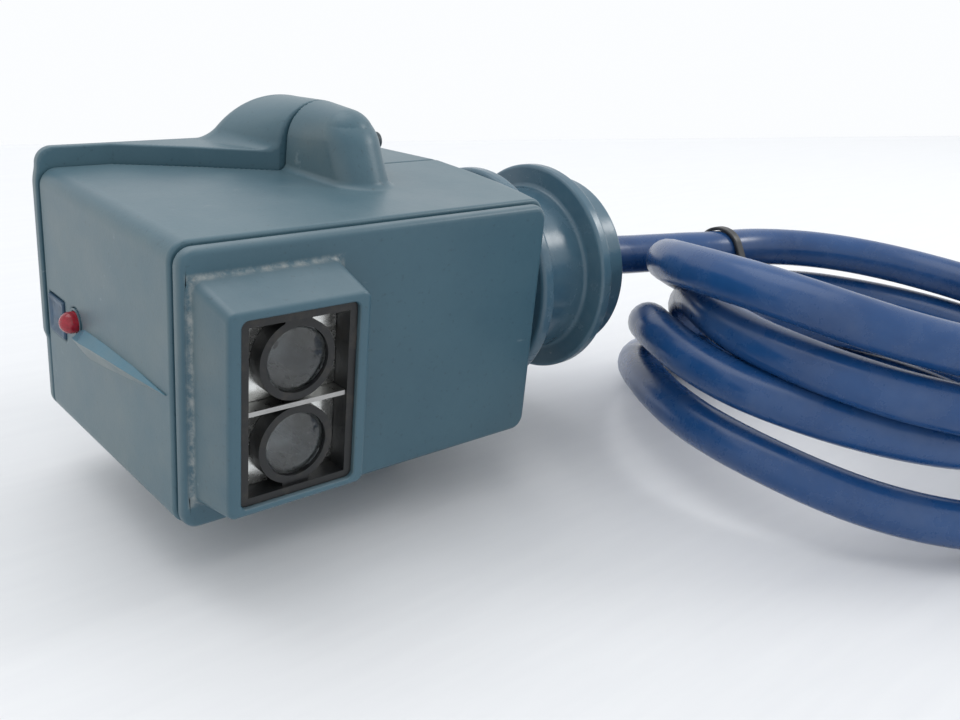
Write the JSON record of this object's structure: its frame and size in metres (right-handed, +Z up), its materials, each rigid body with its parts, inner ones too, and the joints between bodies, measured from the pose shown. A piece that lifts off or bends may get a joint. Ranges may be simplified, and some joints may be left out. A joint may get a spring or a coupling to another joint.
{
  "type": "timing light",
  "caption": "Boxed strobe head with two stacked lenses in a hood, ribbed side neck, push button, indicator lamp and a coiled rubber lead with a round plug.",
  "frame": {"origin": "centre of the head's footprint box, on the surface it stands on", "axes": "+X from the head towards the ribbed neck, -Y out of the lenses, +Z up"},
  "size_m": [0.2952, 0.179, 0.0931],
  "materials": {
    "plate_plastic": "moulded, light spark texture, worn edges",
    "shell_plastic": "moulded, light spark texture, dusty",
    "cover_plastic": "moulded, light spark texture",
    "seal_rubber": "matte",
    "latch_plastic": "smooth",
    "foot_rubber": "matte, scuffed",
    "screw_steel": "zinc plated",
    "frame_plastic": "matte, grimy",
    "lens_clear": "clear, lightly hazed",
    "divider_metal": "bright",
    "mirror_metal": "vacuum coated",
    "tube_glass": "clear",
    "board_laminate": "satin",
    "transformer_iron": "laminated",
    "capacitor_sleeve": "shrink sleeve",
    "lamp_red": "tinted, clear",
    "button_plastic": "satin",
    "spring_steel": "drawn wire",
    "switch_plastic": "satin",
    "boot_rubber": "smooth, slightly glossy",
    "clamp_plastic": "satin",
    "lead_rubber": "smooth, slightly glossy",
    "wire_sleeve": "smooth",
    "tie_plastic": "smooth",
    "plug_plastic": "satin",
    "collar_metal": "knurled",
    "pin_brass": "turned"
  },
  "bodies": {
    "head": {"front_plate": "plate_plastic", "plate_gasket": "seal_rubber", "front_shell": "shell_plastic", "rear_cover": "cover_plastic", "cover_gasket": "seal_rubber", "snap_latch": "latch_plastic", "foot_pad": "foot_rubber", "cover_screws": "screw_steel", "lens_frame": "frame_plastic", "lens_upper": "lens_clear", "lens_lower": "lens_clear", "lens_divider": "divider_metal", "reflector_upper": "mirror_metal", "reflector_lower": "mirror_metal", "flash_tube_upper": "tube_glass", "flash_tube_lower": "tube_glass", "circuit_board": "board_laminate", "trigger_transformer": "transformer_iron", "storage_capacitor": "capacitor_sleeve", "indicator_lamp": "lamp_red", "lamp_bushing": "cover_plastic", "button_spring": "spring_steel", "button_switch": "switch_plastic", "neck_boot": "boot_rubber", "cord_clamp": "clamp_plastic", "lead_core": "lead_rubber", "core_wires": "wire_sleeve", "cable": "lead_rubber", "cable_coil": "lead_rubber", "cable_tail": "lead_rubber", "cable_tie": "tie_plastic", "plug_body": "plug_plastic", "plug_collar": "collar_metal", "plug_pins": "pin_brass"},
    "button": {"push_button": "button_plastic"}
  },
  "joints": [
    {"name": "button_press", "type": "slide", "parent": "head", "child": "button", "axis": [1, 0, 0], "range_m": [-0.0015, 0], "stiffness_N_per_m": 800, "deforming": ["button_spring"]}
  ]
}
